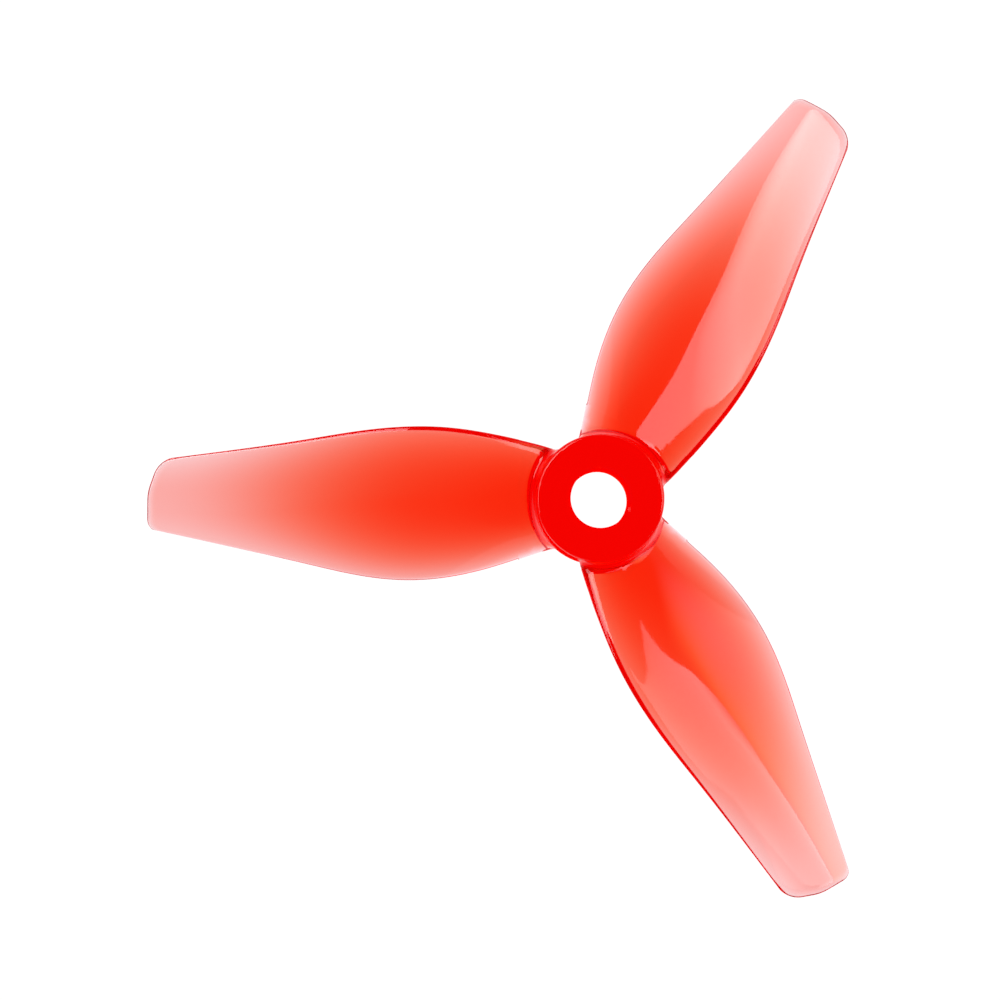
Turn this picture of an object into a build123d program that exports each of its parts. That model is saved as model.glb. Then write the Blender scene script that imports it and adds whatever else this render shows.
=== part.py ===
"""Three-blade propeller for a small multirotor, moulded in translucent polycarbonate.

The moulding is one part on the bench. It is written here as its hub and its three blades, which meet on
flat faces just outside the root fillets, so that each can be handled, weighed and repainted by itself.

Frame: millimetres, +Z along the bore towards the side the air comes from (the nut's side), origin where
the bore's axis meets the hub's lower face. Seen from +Z the propeller turns clockwise. Blade 1 lies along
+X, with its leading edge towards -Y and its trailing edge towards +Y.
"""
import math
import os

from build123d import *

# Hub
BLADE_COUNT = 3
BORE_DIAMETER = 5.0  # slips over an M5 motor shaft
BORE_CHAMFER = 0.2
HUB_DIAMETER = 10.8
HUB_HEIGHT = 6.5
HUB_EDGE_RADIUS = 0.3
ROOT_FILLET = 0.8
JOINT_DISTANCE = 6.8  # from the bore's axis to the flat face on which a blade meets the hub

# Blade, station by station from inside the hub to past the tip:
# (radius, leading edge, trailing edge, height of the trailing edge, pitch in degrees, thickness, ridge, bend)
# The edges are distances from the blade's centre line in plan. The ridge is where the camber line bends
# over, as a share of the chord behind the leading edge, and the bend is how softly it does so; 0 would be
# a sharp ridge. The last station lies past the tip, and the tip outline trims it off.
STATIONS = (
    (3.2, 4.00, 3.70, 0.58, 28.3, 1.56, 0.530, 0.30),
    (6.0, 4.80, 4.50, 0.45, 31.0, 1.62, 0.525, 0.30),
    (9.0, 5.45, 5.42, 0.34, 32.0, 1.56, 0.490, 0.30),
    (12.5, 5.98, 6.20, 0.30, 31.6, 1.46, 0.460, 0.30),
    (16.0, 6.12, 6.48, 0.42, 30.4, 1.38, 0.445, 0.15),
    (20.0, 5.85, 6.12, 0.92, 28.2, 1.22, 0.455, 0.15),
    (25.0, 5.15, 5.02, 1.78, 25.4, 0.95, 0.505, 0.15),
    (30.0, 4.50, 3.86, 2.62, 22.8, 0.68, 0.580, 0.15),
    (35.0, 3.92, 2.72, 3.32, 20.4, 0.51, 0.640, 0.15),
    (40.0, 3.34, 1.60, 3.86, 18.4, 0.47, 0.690, 0.15),
)
TRAILING_THICKNESS = 0.30  # of the trailing edge, before it gets its share of the section's thickness
TRAILING_SHARE = 0.12
LEADING_FULLNESS = 0.55  # thickness just behind the nose, as a share of the greatest
NOSE_SHARE = 0.6  # length of the rounded nose, as a share of the greatest thickness
THICKEST_AT = 0.45  # share of the chord behind the leading edge
CAMBER = 0.055  # height of the ridge, as a share of the chord
POINTS_PER_SIDE = 30

# Tip outline in plan, from the leading edge round to the trailing edge: (radius, position, rounding)
TIP_CORNERS = (
    (37.00, -3.70, 2.2),
    (38.05, -1.00, 4.0),
    (38.15, 2.15, 1.1),
)

# Room for the cuts: larger than anything they have to clear
CLEAR_RADIUS = 45.0
CLEAR_WIDTH = 24.0
CLEAR_HEIGHT = 12.0
ON_SURFACE = 1e-3  # how near a point lies to a surface that it is on


def camber_line(s, ridge, bend):
    """Height of the camber line at s, from 0 at the leading edge to 1 at the trailing edge, per chord."""
    away = (ridge - s) / ridge if s < ridge else (s - ridge) / (1 - ridge)
    drop = (math.hypot(away, bend) - bend) / (math.hypot(1, bend) - bend)
    return CAMBER * (1 - drop)


def half_thickness(s, thickness, chord):
    """Half the thickness at s: a rounded nose, a crest before mid chord and a thin trailing edge."""
    if s < THICKEST_AT:
        share = 1 - (1 - LEADING_FULLNESS) * ((THICKEST_AT - s) / THICKEST_AT) ** 2
    else:
        trailing = TRAILING_THICKNESS / thickness + TRAILING_SHARE
        share = 1 - (1 - trailing) * ((s - THICKEST_AT) / (1 - THICKEST_AT)) ** 2
    nose = NOSE_SHARE * thickness / chord
    if s < nose:
        share *= math.sqrt(1 - (1 - s / nose) ** 2)
    return thickness / 2 * share


def section(radius, leading, trailing, trailing_height, pitch, thickness, ridge, bend):
    """Closed aerofoil wire across the blade at one radius."""
    width = leading + trailing
    angle = math.radians(pitch)
    chord = width / math.cos(angle)
    leading_height = trailing_height + width * math.tan(angle)
    step = 1e-4

    def place(s, side):
        slope = (camber_line(s + step, ridge, bend) - camber_line(s - step, ridge, bend)) / (2 * step)
        lean = math.atan(slope)
        offset = side * half_thickness(s, thickness, chord)
        along = s * chord - offset * math.sin(lean)
        above = camber_line(s, ridge, bend) * chord + offset * math.cos(lean)
        y = -leading + along * math.cos(angle) + above * math.sin(angle)
        z = leading_height - along * math.sin(angle) + above * math.cos(angle)
        return Vector(radius, y, z)

    # squared spacing crowds the points at the nose, where the curve turns fastest
    positions = [(i / POINTS_PER_SIDE) ** 2 for i in range(POINTS_PER_SIDE + 1)]
    upper = [place(s, 1) for s in positions]
    lower = [place(s, -1) for s in positions[1:]]
    around = upper[::-1] + lower  # from the trailing edge over the top, round the nose and back below
    return Wire([Edge.make_spline(around), Edge.make_line(around[-1], around[0])])


def tip_outline():
    """Plan of the room a blade may fill, closed at the tip by its end and its rounded corners."""
    inner, flank = 1.0, 28.0
    leading_flare, trailing_flare = 1.10, 2.20  # how far the edges spread from the tip back to the flank
    side = CLEAR_WIDTH / 2
    corners = [(radius, position) for radius, position, rounding in TIP_CORNERS]
    outline = [(inner, -side), (flank, -side), (flank, corners[0][1] - leading_flare)]
    outline += corners
    outline += [(flank, corners[-1][1] + trailing_flare), (flank, side), (inner, side)]
    plan = Polygon(*outline, align=None)
    for radius, position, rounding in TIP_CORNERS:
        corner = plan.vertices().sort_by_distance((radius, position, 0))[0]
        plan = fillet(corner, rounding)
    return plan


def blade_body():
    """One blade along +X, from inside the hub's wall to its trimmed tip."""
    body = Solid.make_loft([section(*station) for station in STATIONS])
    return body & extrude(tip_outline(), amount=CLEAR_HEIGHT)


def rooted_blade():
    """A plain post with one blade growing out of it through its root fillets, cut to the hub's height."""
    # the post runs past both ends of the hub so that the fillets can form unhindered
    post = Rot(0, 0, 180) * Cylinder(HUB_DIAMETER / 2, 4 * CLEAR_HEIGHT)
    body = post + blade_body()
    shortest = 1.0  # leaves out the end of the thin trailing edge, which meets the wall sharply

    def on_wall(edge):
        points = (edge @ 0.2, edge @ 0.5, edge @ 0.8)
        off_wall = max(abs(math.hypot(point.X, point.Y) - HUB_DIAMETER / 2) for point in points)
        rise = max(abs(point.Z) for point in points)
        return off_wall < ON_SURFACE and rise < CLEAR_HEIGHT and edge.length > shortest

    body = body.fillet(ROOT_FILLET, [edge for edge in body.edges() if on_wall(edge)])
    below = Cylinder(CLEAR_RADIUS, 4 * CLEAR_HEIGHT, align=(Align.CENTER, Align.CENTER, Align.MAX))
    reach = HUB_DIAMETER / 2 + ROOT_FILLET
    above = Cylinder(reach, 4 * CLEAR_HEIGHT, align=(Align.CENTER, Align.CENTER, Align.MIN))
    return body - below - Pos(0, 0, HUB_HEIGHT) * above - edge_ring()


def edge_ring():
    """What the rounding takes off the hub's upper edge."""
    radius, rounding = HUB_DIAMETER / 2, HUB_EDGE_RADIUS
    spare = 0.5
    with BuildSketch(Plane.XZ) as profile:
        with BuildLine():
            # the outer side leans outwards, to leave the root fillets beside it whole
            Polyline(
                (radius - rounding, HUB_HEIGHT),
                (radius - rounding, HUB_HEIGHT + spare),
                (radius + spare, HUB_HEIGHT + spare),
                (radius, HUB_HEIGHT - rounding),
            )
            RadiusArc((radius, HUB_HEIGHT - rounding), (radius - rounding, HUB_HEIGHT), -rounding)
        make_face()
    return revolve(profile.sketch, Axis.Z)


def blade_room():
    """Block that holds all of blade 1 outside its joint face."""
    length = CLEAR_RADIUS - JOINT_DISTANCE
    block = Box(length, CLEAR_WIDTH, 2 * CLEAR_HEIGHT, align=(Align.MIN, Align.CENTER, Align.CENTER))
    return Pos(JOINT_DISTANCE, 0, 0) * block


def hub_sector():
    """Wedge about +X that holds one blade's share of the hub."""
    corner = Vector(CLEAR_WIDTH / 2, 0).rotate(Axis.Z, 180 / BLADE_COUNT)
    far = CLEAR_WIDTH
    plan = Polygon(
        (0, 0),
        (corner.X, -corner.Y),
        (far, -corner.Y),
        (far, corner.Y),
        (corner.X, corner.Y),
        align=None,
    )
    return extrude(plan, amount=CLEAR_HEIGHT)


def bore():
    """The bore, with a small chamfer where the nut sits."""
    radius = BORE_DIAMETER / 2
    mouth = radius + BORE_CHAMFER
    chamfer = Cone(radius, mouth, BORE_CHAMFER, align=(Align.CENTER, Align.CENTER, Align.MAX))
    return Cylinder(radius, 2 * CLEAR_HEIGHT) + Pos(0, 0, HUB_HEIGHT) * chamfer


def place(index):
    """Turn about the bore's axis that carries blade 1 to the place of blade index + 1."""
    return Rot(0, 0, index * 360 / BLADE_COUNT)


def propeller():
    """The named solids: the hub with its blade roots, and the three blades."""
    share = rooted_blade()
    blade = (share & blade_room()).solid()
    hub_share = ((share - blade_room()) & hub_sector()) - bore()
    hub = hub_share
    for index in range(1, BLADE_COUNT):
        hub += place(index) * hub_share
    nodes = {"hub": hub}
    for index in range(BLADE_COUNT):
        nodes[f"blade_{index + 1}"] = place(index) * blade
    return nodes


os.makedirs("parts", exist_ok=True)
for name, solid in propeller().items():
    export_step(solid, f"parts/{name}.step")
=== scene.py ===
import math

import bpy
import numpy as np
from mathutils import Matrix, Vector
from mathutils.bvhtree import BVHTree


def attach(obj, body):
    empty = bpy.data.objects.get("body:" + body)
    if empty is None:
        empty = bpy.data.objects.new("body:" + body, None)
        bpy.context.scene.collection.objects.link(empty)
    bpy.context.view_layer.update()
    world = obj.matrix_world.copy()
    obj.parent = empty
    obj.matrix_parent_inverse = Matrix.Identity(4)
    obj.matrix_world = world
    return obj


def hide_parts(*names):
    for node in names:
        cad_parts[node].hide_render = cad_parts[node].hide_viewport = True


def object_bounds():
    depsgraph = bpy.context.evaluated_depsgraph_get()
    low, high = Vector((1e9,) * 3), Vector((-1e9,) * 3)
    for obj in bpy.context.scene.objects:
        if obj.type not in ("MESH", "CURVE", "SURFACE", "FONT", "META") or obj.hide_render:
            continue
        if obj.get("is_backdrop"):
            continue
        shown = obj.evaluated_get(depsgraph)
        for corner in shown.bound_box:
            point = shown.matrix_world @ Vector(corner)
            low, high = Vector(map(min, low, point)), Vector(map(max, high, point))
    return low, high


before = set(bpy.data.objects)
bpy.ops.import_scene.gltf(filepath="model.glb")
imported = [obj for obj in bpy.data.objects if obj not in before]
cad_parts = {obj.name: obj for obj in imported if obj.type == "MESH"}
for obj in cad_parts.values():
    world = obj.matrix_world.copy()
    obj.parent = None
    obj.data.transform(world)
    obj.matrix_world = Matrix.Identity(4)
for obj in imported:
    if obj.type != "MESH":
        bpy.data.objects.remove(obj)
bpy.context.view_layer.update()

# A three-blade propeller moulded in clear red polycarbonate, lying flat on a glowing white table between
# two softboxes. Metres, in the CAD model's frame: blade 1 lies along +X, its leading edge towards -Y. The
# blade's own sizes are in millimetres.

MM = 0.001
BLADE_COUNT = 3

# Blade, station by station:
# radius, leading edge, trailing edge, height of the trailing edge, pitch in degrees, thickness, ridge, bend
# The ridge is where the camber line bends over, as a share of the chord behind the leading edge, and the
# bend is how softly it does so; 0 would be a sharp ridge.
STATIONS = np.array((
    (3.2, 4.00, 3.70, 0.58, 28.3, 1.56, 0.530, 0.30),
    (6.0, 4.80, 4.50, 0.45, 31.0, 1.62, 0.525, 0.30),
    (9.0, 5.45, 5.42, 0.34, 32.0, 1.56, 0.490, 0.30),
    (12.5, 5.98, 6.20, 0.30, 31.6, 1.46, 0.460, 0.30),
    (16.0, 6.12, 6.48, 0.42, 30.4, 1.38, 0.445, 0.15),
    (20.0, 5.85, 6.12, 0.92, 28.2, 1.22, 0.455, 0.15),
    (25.0, 5.15, 5.02, 1.78, 25.4, 0.95, 0.505, 0.15),
    (30.0, 4.50, 3.86, 2.62, 22.8, 0.68, 0.580, 0.15),
    (35.0, 3.92, 2.72, 3.32, 20.4, 0.51, 0.640, 0.15),
    (40.0, 3.34, 1.60, 3.86, 18.4, 0.47, 0.690, 0.15),
))
TRAILING_THICKNESS = 0.30  # of the trailing edge, before it gets its share of the section's thickness
TRAILING_SHARE = 0.12
LEADING_FULLNESS = 0.55  # thickness just behind the nose, as a share of the greatest
NOSE_SHARE = 0.6  # length of the rounded nose, as a share of the greatest thickness
THICKEST_AT = 0.45  # share of the chord behind the leading edge
CAMBER = 0.055  # height of the ridge, as a share of the chord
JOINT_DISTANCE = 6.8  # from the bore's axis to the flat face on which a blade meets the hub

# Tip outline in plan, from the leading edge round to the trailing edge: radius, position, rounding
TIP_CORNERS = ((37.00, -3.70, 2.2), (38.05, -1.00, 4.0), (38.15, 2.15, 1.1))
TIP_FLANK = 28.0  # radius at which the tip outline's straight flanks begin
TIP_FLARES = (1.10, 2.20)  # how far the two flanks spread from the tip back to there
EDGE_ROUNDING = 0.14  # of the trailing edge's rim
TIP_ROUNDING = 0.8  # of the tip's rim, where it faces straight outwards
LEAST_FACING = 0.2  # keeps the tip's rounding short where its rim runs along the blade

# Grid of a blade
NOSE_STEPS = 16
CHORD_STEPS = 56
RIM_STEPS = 5
TIP_STEPS = 12
SPAN_STEPS = 96
ARC_POINTS = 24  # of each rounded corner of the tip outline
HALVINGS = 40  # of the search for the place where a line of the grid meets the outline

# Thickness of the moulding under each point
MOST_WALL = 1.8  # beyond which the colour hardly changes
BESIDE = 0.03  # how far beside a point the thickness is measured
RAY_HEIGHT = 1.0  # metres above and below the hub's lower face from which it is measured

# How the hub's joint faces are told from its other faces
SAME_DIRECTION = 0.999  # cosine of the angle within which a face looks along a blade
ON_PLANE = 1e-6  # metres off the joint's plane


def natural_spline(x, y):
    """Function that runs smoothly through the points (x, y), straight at both ends."""
    n = len(x)
    h = np.diff(x)
    matrix = np.eye(n)
    right = np.zeros(n)
    for i in range(1, n - 1):
        matrix[i, i - 1:i + 2] = h[i - 1], 2 * (h[i - 1] + h[i]), h[i]
        right[i] = 6 * ((y[i + 1] - y[i]) / h[i] - (y[i] - y[i - 1]) / h[i - 1])
    bend = np.linalg.solve(matrix, right)

    def value(at):
        i = np.clip(np.searchsorted(x, at) - 1, 0, n - 2)
        a = (x[i + 1] - at) / h[i]
        b = 1 - a
        curve = ((a ** 3 - a) * bend[i] + (b ** 3 - b) * bend[i + 1]) * h[i] ** 2 / 6
        return a * y[i] + b * y[i + 1] + curve

    return value


LEADING, TRAILING, TRAILING_HEIGHT, PITCH, THICKNESS, RIDGE, BEND = (
    natural_spline(STATIONS[:, 0], STATIONS[:, column]) for column in range(1, 8)
)


def camber_line(s, radius):
    """Height and slope of the camber line at s, from 0 at the leading edge to 1 at the trailing edge."""
    ridge = RIDGE(radius)
    room = np.where(s < ridge, -ridge, 1 - ridge)
    away = (s - ridge) / room  # from 0 on the ridge to 1 at either edge
    bend = BEND(radius)
    scale = CAMBER / (np.hypot(1, bend) - bend)
    reach = np.hypot(away, bend)
    return CAMBER - scale * (reach - bend), -scale * away / reach / room


def half_thickness(s, radius):
    """Half the thickness at s before any rim is rounded, in millimetres."""
    thickness = THICKNESS(radius)
    trailing = TRAILING_THICKNESS / thickness + TRAILING_SHARE
    front = 1 - (1 - LEADING_FULLNESS) * ((THICKEST_AT - s) / THICKEST_AT) ** 2
    back = 1 - (1 - trailing) * ((s - THICKEST_AT) / (1 - THICKEST_AT)) ** 2
    share = np.where(s < THICKEST_AT, front, back)
    behind = np.clip(s * chord(radius) / (NOSE_SHARE * thickness), 0, 1)
    return thickness / 2 * share * np.sqrt(1 - (1 - behind) ** 2)


def chord(radius):
    """Length of the blade's section at a radius, in millimetres."""
    return (LEADING(radius) + TRAILING(radius)) / np.cos(np.radians(PITCH(radius)))


def surface(s, radius, offset):
    """Points at s along the sections at these radii, offset upwards from the camber line, in millimetres."""
    angle = np.radians(PITCH(radius))
    length = chord(radius)
    height, slope = camber_line(s, radius)
    lean = np.arctan(slope)
    along = s * length - offset * np.sin(lean)
    above = height * length + offset * np.cos(lean)
    leading_height = TRAILING_HEIGHT(radius) + length * np.sin(angle)
    y = -LEADING(radius) + along * np.cos(angle) + above * np.sin(angle)
    z = leading_height - along * np.sin(angle) + above * np.cos(angle)
    return np.stack((radius + 0 * s, y, z), axis=-1)


def rounded_corner(before, corner, after, rounding):
    """Points along the arc that rounds a corner of an outline."""
    back = (before - corner) / np.linalg.norm(before - corner)
    on = (after - corner) / np.linalg.norm(after - corner)
    half = math.acos(float(back @ on)) / 2
    centre = corner + (back + on) / np.linalg.norm(back + on) * rounding / math.sin(half)
    start = corner + back * rounding / math.tan(half) - centre
    end = corner + on * rounding / math.tan(half) - centre
    first = math.atan2(start[1], start[0])
    turn = (math.atan2(end[1], end[0]) - first + math.pi) % (2 * math.pi) - math.pi
    angles = first + turn * np.linspace(0, 1, ARC_POINTS)
    return centre + rounding * np.stack((np.cos(angles), np.sin(angles)), axis=1)


def tip_outline():
    """Plan of the blade's end, as points from the leading flank round to the trailing flank."""
    corners = [np.array(corner[:2]) for corner in TIP_CORNERS]
    first = np.array((TIP_FLANK, corners[0][1] - TIP_FLARES[0]))
    last = np.array((TIP_FLANK, corners[-1][1] + TIP_FLARES[1]))
    ring = [first] + corners + [last]
    points = [first[None]]
    for i, (_, _, rounding) in enumerate(TIP_CORNERS):
        points.append(rounded_corner(ring[i], ring[i + 1], ring[i + 2], rounding))
    points.append(last[None])
    return np.concatenate(points)


def tip_radius(s_at):
    """Radius at which each line of the grid reaches the tip outline. s_at gives the lines' s at a radius."""
    outline = tip_outline()
    crest = int(outline[:, 0].argmax())
    low = outline[:crest + 1]
    high = outline[crest:][::-1]
    inner = np.full(len(s_at(TIP_FLANK)), TIP_FLANK)
    outer = np.full(len(inner), outline[crest, 0])
    for _ in range(HALVINGS):
        middle = (inner + outer) / 2
        y = surface(s_at(middle), middle, 0.0)[:, 1]
        past_leading = y > np.interp(middle, low[:, 0], low[:, 1])
        before_trailing = y < np.interp(middle, high[:, 0], high[:, 1])
        inside = past_leading & before_trailing
        inner = np.where(inside, middle, inner)
        outer = np.where(inside, outer, middle)
    return inner


def blade_grid():
    """The grid of blade 1, seen in plan.

    Gives the radius of every line at each row from the joint to the tip, the radius at which each line ends,
    the depth of its rounding there, and the function for the lines' places along the chord.
    """
    nose = 1 - np.cos(np.linspace(0, math.pi / 2, NOSE_STEPS + 1))
    middle = np.linspace(0, 1, CHORD_STEPS + 1)[1:-1]
    rim = 1 - np.cos(np.linspace(math.pi / 2, 0, RIM_STEPS + 1))
    # every place along the chord is a sum of shares of the chord, of the nose and of the trailing rim
    of_nose = np.concatenate((nose, 1 - middle, 0 * rim))
    of_rim = np.concatenate((0 * nose, -middle, -rim))
    of_chord = np.concatenate((0 * nose, middle, 0 * rim + 1))

    def s_at(radius):
        """The grid's places along the chord at one radius, or at one radius for each place."""
        nose_length = NOSE_SHARE * THICKNESS(radius)
        return of_chord + (of_nose * nose_length + of_rim * EDGE_ROUNDING) / chord(radius)

    ends = tip_radius(s_at)
    across = np.gradient(surface(s_at(ends), ends, 0.0)[:, 1])
    facing = np.abs(across) / np.hypot(across, np.gradient(ends))  # 1 where the end faces straight outwards
    depth = TIP_ROUNDING / np.maximum(facing, LEAST_FACING)
    span = np.linspace(0, 1, SPAN_STEPS + 1)[:-1, None]
    rows = JOINT_DISTANCE + span * (ends - depth - JOINT_DISTANCE)
    tip = 1 - np.cos(np.linspace(math.pi / 2, 0, TIP_STEPS + 1))
    rows = np.concatenate((rows, ends - depth * tip[:, None]))
    return rows, ends, depth, s_at


def blade_shape():
    """Points of blade 1's upper and lower surfaces, row by row from the joint to the tip."""
    rows, ends, depth, s_at = blade_grid()
    s = np.array([s_at(row) for row in rows])
    to_tip = np.clip((ends - rows) / depth, 0, 1)
    to_trailing = np.clip((1 - s) * chord(rows) / EDGE_ROUNDING, 0, 1)
    rounding = np.sqrt(1 - (1 - to_tip) ** 2) * np.sqrt(1 - (1 - to_trailing) ** 2)
    half = half_thickness(s, rows) * rounding
    upper = surface(s, rows, half)
    lower = surface(s, rows, -half)
    return upper, lower


def mesh_object(name, points, faces):
    """A smooth-shaded mesh object, from points in millimetres."""
    mesh = bpy.data.meshes.new(name)
    mesh.from_pydata([Vector(point) * MM for point in points], [], faces)
    mesh.polygons.foreach_set("use_smooth", [True] * len(mesh.polygons))
    obj = bpy.data.objects.new(name, mesh)
    bpy.context.scene.collection.objects.link(obj)
    return obj


def blade(index):
    """One blade: a grid of quads over its upper and lower surfaces, closed by a flat face at the joint."""
    upper, lower = blade_shape()
    rows, columns = upper.shape[:2]
    # one closed loop per row: over the top from the trailing edge to the nose, and back below
    loop = np.concatenate((upper[:, ::-1], lower[:, 1:-1]), axis=1)
    around = loop.shape[1]
    number = np.arange(rows * around).reshape(rows, around)
    # the last row's upper and lower points meet on the tip's rim
    for k in range(1, columns - 1):
        number[-1, around - k] = number[-1, k]
    faces = []
    for r in range(rows - 1):
        for k in range(around):
            a, b = number[r, k], number[r, (k + 1) % around]
            c, d = number[r + 1, (k + 1) % around], number[r + 1, k]
            face = [int(a), int(b), int(c), int(d)]
            faces.append(face[:3] if c == d else face)
    faces.append([int(n) for n in number[0]][::-1])
    used = sorted({n for face in faces for n in face})
    place = {n: i for i, n in enumerate(used)}
    points = loop.reshape(-1, 3)[used]
    turn = np.array(Matrix.Rotation(2 * math.pi * index / BLADE_COUNT, 3, "Z"))
    faces = [[place[n] for n in face] for face in faces]
    obj = mesh_object(f"blade_{index + 1}_moulding", points @ turn.T, faces)
    joint_face = obj.data.polygons[len(faces) - 1]
    joint_face.material_index = 1
    sharp = obj.data.attributes.new("sharp_edge", "BOOLEAN", "EDGE")
    ring = set(joint_face.edge_keys)
    sharp.data.foreach_set("value", [edge.key in ring for edge in obj.data.edges])
    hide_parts(f"blade_{index + 1}")
    return obj


def set_walls(pieces):
    """Stores how thick the whole moulding is under or over each point, in millimetres, for the material."""
    points = []
    faces = []
    for piece in pieces:
        first = len(points)
        points += [vertex.co for vertex in piece.data.vertices]
        faces += [
            [first + n for n in polygon.vertices]
            for polygon in piece.data.polygons
            if polygon.material_index == 0
        ]
    moulding = BVHTree.FromPolygons(points, faces)
    above, below = Vector((0, 0, 1)), Vector((0, 0, -1))
    for piece in pieces:
        mesh = piece.data
        values = []
        for vertex in mesh.vertices:
            deepest = 0.0
            # four places beside the point, since the point itself may lie on an edge or a joint
            for x, y in ((1, 0), (0, 1), (-1, 0), (0, -1)):
                place = vertex.co + Vector((x, y, 0)) * BESIDE * MM
                top = moulding.ray_cast((place.x, place.y, RAY_HEIGHT), below)[3]
                bottom = moulding.ray_cast((place.x, place.y, -RAY_HEIGHT), above)[3]
                if top is not None and bottom is not None:
                    deepest = max(deepest, (2 * RAY_HEIGHT - top - bottom) / MM)
            values.append(min(deepest, MOST_WALL))
        layer = mesh.attributes.new("wall", "FLOAT", "POINT")
        layer.data.foreach_set("value", values)


def hub():
    """The hub as designed, with its own normals; its joint faces get the second material."""
    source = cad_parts["hub"].data
    mesh = source.copy()
    mesh.name = "hub_moulding"
    mesh.materials.clear()
    obj = bpy.data.objects.new("hub_moulding", mesh)
    bpy.context.scene.collection.objects.link(obj)
    for index in range(BLADE_COUNT):
        angle = 2 * math.pi * index / BLADE_COUNT
        out = Vector((math.cos(angle), math.sin(angle), 0))
        for polygon in mesh.polygons:
            off_joint = abs(polygon.center.dot(out) - JOINT_DISTANCE * MM)
            if polygon.normal.dot(out) > SAME_DIRECTION and off_joint < ON_PLANE:
                polygon.material_index = 1
    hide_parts("hub")
    return obj


def node(tree, kind, inputs=(), **settings):
    """A shader node with some of its inputs linked or set, by name or number."""
    made = tree.nodes.new(kind)
    for key, value in settings.items():
        setattr(made, key, value)
    for key, value in dict(inputs).items():
        if isinstance(value, bpy.types.NodeSocket):
            tree.links.new(value, made.inputs[key])
        else:
            made.inputs[key].default_value = value
    return made


def math_node(tree, operation, a, b=0.0, c=0.0):
    """Output of a Math node."""
    return node(tree, "ShaderNodeMath", {0: a, 1: b, 2: c}, operation=operation).outputs[0]


def ramp(tree, value, low, high, **settings):
    """Output that goes from low to high, each given as (value, output), and is level outside them."""
    (from_min, to_min), (from_max, to_max) = low, high
    inputs = {"Value": value, "From Min": from_min, "To Min": to_min, "From Max": from_max, "To Max": to_max}
    return node(tree, "ShaderNodeMapRange", inputs, **settings).outputs[0]


def new_tree(material):
    """An empty node tree for a material or a world."""
    material.use_nodes = True
    material.node_tree.nodes.clear()
    return material.node_tree


# Optics of the plastic
TINT = (0.990, 0.212, 0.273, 1.0)  # share of red, green and blue light left after a millimetre
DEEP_TINT = (1.0, 0.638, 0.295, 1.0)  # what is left on top of that, for the square of the length
IOR = 1.586
ROUGHNESS = (0.035, 0.065)  # it varies between these, in soft clouds
CLOUD_SCALE = 420.0
CLOUD_DETAIL = 3.0
UPRIGHT = (0.05, 0.25)  # upward part of the normal up to which a wall is upright, and from which it isn't
HUB_REACH = 0.0056  # distance from the axis within which upright walls are the hub's own
UNBENT_IOR = 1.001


def tinted(tree, length, square):
    """Colour of light after a length in millimetres, given its square too."""
    first = node(tree, "ShaderNodeGamma", {"Color": TINT, "Gamma": length}).outputs[0]
    deep = node(tree, "ShaderNodeGamma", {"Color": DEEP_TINT, "Gamma": square}).outputs[0]
    return node(tree, "ShaderNodeVectorMath", {0: first, 1: deep}, operation="MULTIPLY").outputs[0]


def cloudy_roughness(tree, place):
    """The slightly uneven gloss of a polished mould."""
    inputs = {"Vector": place, "Scale": CLOUD_SCALE, "Detail": CLOUD_DETAIL}
    cloud = node(tree, "ShaderNodeTexNoise", inputs).outputs["Fac"]
    return ramp(tree, cloud, (0.0, ROUGHNESS[0]), (1.0, ROUGHNESS[1]))


def upright_hub_wall(tree, place, normal):
    """1 on the hub's upright walls and in its bore, 0 elsewhere."""
    rise = node(tree, "ShaderNodeSeparateXYZ", {0: normal}).outputs["Z"]
    upright = ramp(tree, math_node(tree, "ABSOLUTE", rise), (UPRIGHT[0], 1.0), (UPRIGHT[1], 0.0))
    level = node(tree, "ShaderNodeVectorMath", {0: place, 1: (1, 1, 0)}, operation="MULTIPLY").outputs[0]
    distance = node(tree, "ShaderNodeVectorMath", {0: level}, operation="LENGTH").outputs["Value"]
    return math_node(tree, "MULTIPLY", upright, math_node(tree, "LESS_THAN", distance, HUB_REACH))


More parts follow.
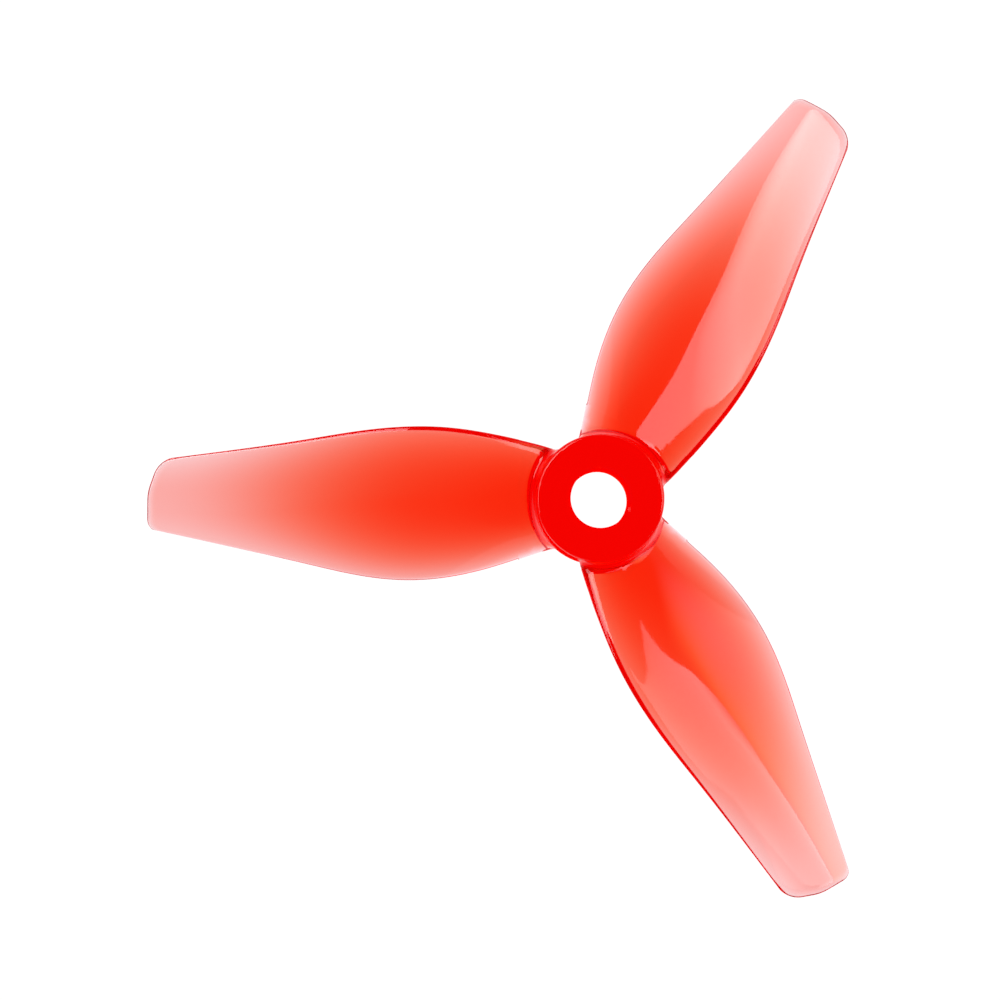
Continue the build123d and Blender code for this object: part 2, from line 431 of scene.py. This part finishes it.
def red_polycarbonate():
    """Clear red plastic that takes off light by the length of its path inside.

    Light is tinted on entering, for a path as long as the moulding is thick there, and on leaving, for what
    its real path was longer than half of that.
    """
    material = bpy.data.materials.new("red_polycarbonate_clear")
    tree = new_tree(material)
    wall = node(tree, "ShaderNodeAttribute", attribute_name="wall").outputs["Fac"]
    wall_square = math_node(tree, "MULTIPLY", wall, wall)
    path = math_node(tree, "DIVIDE", node(tree, "ShaderNodeLightPath").outputs["Ray Length"], MM)
    path_square = math_node(tree, "MULTIPLY", path, path)
    left = math_node(tree, "MULTIPLY_ADD", wall, -0.5, path)
    left_square = math_node(tree, "MULTIPLY_ADD", wall_square, -0.5, path_square)
    entering = tinted(tree, wall, wall_square)
    leaving = tinted(
        tree, math_node(tree, "MAXIMUM", left, 0.0), math_node(tree, "MAXIMUM", left_square, 0.0)
    )

    geometry = node(tree, "ShaderNodeNewGeometry")
    place = node(tree, "ShaderNodeTexCoord").outputs["Object"]
    roughness = cloudy_roughness(tree, place)
    glossy = node(
        tree, "ShaderNodeBsdfPrincipled",
        {"Base Color": entering, "Roughness": roughness, "IOR": IOR, "Transmission Weight": 1.0},
    ).outputs[0]
    # the hub's upright walls mirror nothing, however flatly they are seen, so that they stay red
    unmirrored = node(
        tree, "ShaderNodeBsdfRefraction", {"Color": entering, "Roughness": 0.0, "IOR": UNBENT_IOR}
    ).outputs[0]
    of_wall = upright_hub_wall(tree, place, geometry.outputs["Normal"])
    front = node(tree, "ShaderNodeMixShader", {0: of_wall, 1: glossy, 2: unmirrored}).outputs[0]
    back = node(
        tree, "ShaderNodeBsdfGlass", {"Color": leaving, "Roughness": roughness, "IOR": IOR}
    ).outputs[0]
    side = geometry.outputs["Backfacing"]
    mixed = node(tree, "ShaderNodeMixShader", {0: side, 1: front, 2: back}).outputs[0]
    node(tree, "ShaderNodeOutputMaterial", {"Surface": mixed})
    return material


def joint_material():
    """No surface at all: the moulding runs on unbroken through the faces on which its pieces join."""
    material = bpy.data.materials.new("inside_of_the_moulding")
    tree = new_tree(material)
    clear = node(tree, "ShaderNodeBsdfTransparent").outputs[0]
    node(tree, "ShaderNodeOutputMaterial", {"Surface": clear})
    return material


# Studio
WHITE = (1, 1, 1, 1)
FLOOR_DROP = 0.0001
FLOOR_SIZE = 6.0
FLOOR_LIGHT = 1.05
FLOOR_MIRRORED = 0.3  # share of the floor's light that shows in the plastic's gloss
CLOSE_BY = (0.007, 0.015)  # distances up to which all of it shows there, and from which only that share does
HORIZON_LIGHT = 1.0
OVERHEAD_LIGHT = 0.02
OVERHEAD_THROUGH = 0.6  # light from overhead that shows through the plastic
THROUGH_RISE = (0.4, 0.7)  # rise of the direction at which that starts, and at which it is complete
SHEEN_FROM = (-0.945, -0.253, 0.208)  # towards a soft, low light at one side, white below and amber above
SHEEN_REACH = 0.84  # cosine of the angle at which it has faded out
SHEEN_LIGHT = 1.5
SHEEN_BLUE = ((0.15, 1.0), (0.50, 0.35))  # (rise, blue in its light) where the amber starts and is complete
SOFTBOX_HEIGHT = 0.6
SOFTBOX_FADE = 0.36  # how far beside its core a softbox has faded, per height


def panel(name, corners):
    """Stages a flat panel with these corners, and gives the empty node tree of its material."""
    mesh = bpy.data.meshes.new(name)
    mesh.from_pydata(corners, [], [tuple(range(len(corners)))])
    obj = bpy.data.objects.new(name, mesh)
    bpy.context.scene.collection.objects.link(obj)
    material = bpy.data.materials.new(name)
    mesh.materials.append(material)
    obj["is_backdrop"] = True
    return new_tree(material)


def floor():
    """A plain white table that glows evenly; from below it can be looked through."""
    half = FLOOR_SIZE / 2
    corners = [(-half, -half), (half, -half), (half, half), (-half, half)]
    tree = panel("floor", [(x, y, -FLOOR_DROP) for x, y in corners])
    path = node(tree, "ShaderNodeLightPath").outputs
    # a ray that leaves the plastic counts as glossy too
    mirrored = math_node(tree, "GREATER_THAN", path["Is Glossy Ray"], path["Is Transmission Ray"])
    far = ramp(tree, path["Ray Length"], (CLOSE_BY[0], 0.0), (CLOSE_BY[1], 1.0))
    dimmed = math_node(tree, "MULTIPLY", mirrored, far)
    strength = ramp(tree, dimmed, (0.0, FLOOR_LIGHT), (1.0, FLOOR_LIGHT * FLOOR_MIRRORED))
    glow = node(tree, "ShaderNodeEmission", {"Color": WHITE, "Strength": strength}).outputs[0]
    clear = node(tree, "ShaderNodeBsdfTransparent").outputs[0]
    side = node(tree, "ShaderNodeNewGeometry").outputs["Backfacing"]
    mixed = node(tree, "ShaderNodeMixShader", {0: side, 1: glow, 2: clear}).outputs[0]
    node(tree, "ShaderNodeOutputMaterial", {"Surface": mixed})


def sheen(tree, direction):
    """Light that the plastic's gloss mirrors from each direction."""
    towards = node(tree, "ShaderNodeVectorMath", {0: direction, 1: SHEEN_FROM}, operation="DOT_PRODUCT")
    return ramp(
        tree, towards.outputs["Value"], (SHEEN_REACH, OVERHEAD_LIGHT), (1.0, SHEEN_LIGHT),
        interpolation_type="SMOOTHSTEP",
    )


def surroundings():
    """White to the camera and low down behind the plastic, and dark to its gloss, but for the sheen."""
    world = bpy.data.worlds.new("studio")
    bpy.context.scene.world = world
    tree = new_tree(world)
    path = node(tree, "ShaderNodeLightPath").outputs
    direction = node(tree, "ShaderNodeTexCoord").outputs["Generated"]
    rise = node(tree, "ShaderNodeSeparateXYZ", {0: direction}).outputs["Z"]
    low = ramp(tree, rise, (THROUGH_RISE[0], 1.0), (THROUGH_RISE[1], OVERHEAD_THROUGH))
    through = math_node(tree, "MULTIPLY", path["Is Transmission Ray"], low)
    white = math_node(tree, "MAXIMUM", path["Is Camera Ray"], through)
    strength = ramp(tree, white, (0.0, sheen(tree, direction)), (1.0, HORIZON_LIGHT))
    unmirrored = math_node(tree, "MAXIMUM", path["Is Camera Ray"], path["Is Transmission Ray"])
    blue = math_node(tree, "MAXIMUM", unmirrored, ramp(tree, rise, *SHEEN_BLUE))
    colour = node(tree, "ShaderNodeCombineColor", {"Red": 1.0, "Green": 1.0, "Blue": blue}).outputs[0]
    glow = node(tree, "ShaderNodeBackground", {"Color": colour, "Strength": strength}).outputs[0]
    node(tree, "ShaderNodeOutputWorld", {"Surface": glow})


def softbox(name, core, core_light, rim_light, outline):
    """A level softbox over one side of the hub, with its outline as (towards +X, towards -Y).

    It is brightest along its core, at this place towards +X, and fades to its rim light beside it, with
    white at 1. Lengths are in units of the softbox's height over the hub.
    """
    tree = panel(name, [(x * SOFTBOX_HEIGHT, -y * SOFTBOX_HEIGHT, SOFTBOX_HEIGHT) for x, y in outline])
    place = node(tree, "ShaderNodeNewGeometry").outputs["Position"]
    sideways = node(tree, "ShaderNodeSeparateXYZ", {0: place}).outputs["X"]
    away = math_node(tree, "ABSOLUTE", math_node(tree, "SUBTRACT", sideways, core * SOFTBOX_HEIGHT))
    strength = ramp(tree, away, (0.0, core_light), (SOFTBOX_FADE * SOFTBOX_HEIGHT, rim_light))
    glow = node(tree, "ShaderNodeEmission", {"Color": WHITE, "Strength": strength}).outputs[0]
    node(tree, "ShaderNodeOutputMaterial", {"Surface": glow})


# Camera: a long lens that looks nearly straight down, with -Y at the top of the picture
LENS = 200.0
SENSOR = 36.0
FILL = 0.80  # share of the picture that the propeller's longer side fills
TILT = (1.5, 2.5)  # degrees off the vertical, towards +X and towards +Y
TURN = 0.7  # degrees clockwise, of the picture's upper side
CLIP = (0.01, 20.0)


def camera():
    """The camera, aimed at the middle of the propeller."""
    low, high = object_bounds()
    centre = (low + high) / 2
    extent = max(high.x - low.x, high.y - low.y)
    distance = extent / FILL * LENS / SENSOR
    tilt_x, tilt_y = (math.tan(math.radians(angle)) for angle in TILT)
    towards_viewer = Vector((tilt_x, tilt_y, 1)).normalized()
    turn = math.radians(TURN)
    right = Vector((-math.sin(turn), -math.cos(turn), 0)).cross(towards_viewer).normalized()
    up = towards_viewer.cross(right)
    data = bpy.data.cameras.new("camera")
    data.lens = LENS
    data.sensor_width = SENSOR
    data.clip_start, data.clip_end = CLIP
    obj = bpy.data.objects.new("camera", data)
    axes = Matrix((right, up, towards_viewer)).transposed().to_4x4()
    obj.matrix_world = Matrix.Translation(centre + towards_viewer * distance) @ axes
    bpy.context.scene.collection.objects.link(obj)
    bpy.context.scene.camera = obj


# Light crosses the moulding many times where it runs along the blades
BOUNCES = 32


def finish_looks():
    """Colours go out as they are, with white at 1, and light may bounce often enough inside the plastic."""
    view = bpy.context.scene.view_settings
    view.view_transform = "Standard"
    view.look = "None"
    cycles = bpy.context.scene.cycles
    cycles.max_bounces = BOUNCES
    cycles.glossy_bounces = BOUNCES
    cycles.transmission_bounces = BOUNCES


plastic = red_polycarbonate()
joint = joint_material()
moulding = [hub()] + [blade(index) for index in range(BLADE_COUNT)]
set_walls(moulding)
for piece in moulding:
    piece.data.materials.append(plastic)
    piece.data.materials.append(joint)
    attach(piece, "root")
floor()
surroundings()
softbox(
    "softbox_left", 0.47, 4.6, 2.3,
    (
        (1.62, -0.25), (1.62, 0.20), (1.25, 0.60), (0.95, 1.00), (0.18, 1.00), (0.18, 0.26),
        (0.36, 0.28), (0.52, 0.34), (0.72, 0.22), (0.93, 0.00), (1.08, -0.25),
    ),
)
softbox(
    "softbox_right", -1.06, 3.0, 1.1,
    (
        (-0.75, 0.80), (-0.83, 0.62), (-0.90, 0.50), (-0.98, 0.43), (-1.15, 0.42), (-1.50, 0.50),
        (-1.50, -0.15), (-0.75, -0.15), (-0.66, 0.10), (-0.35, 0.14), (-0.42, 0.27), (-0.77, 0.26),
        (-0.78, 0.36), (-0.76, 0.48),
    ),
)
camera()
finish_looks()
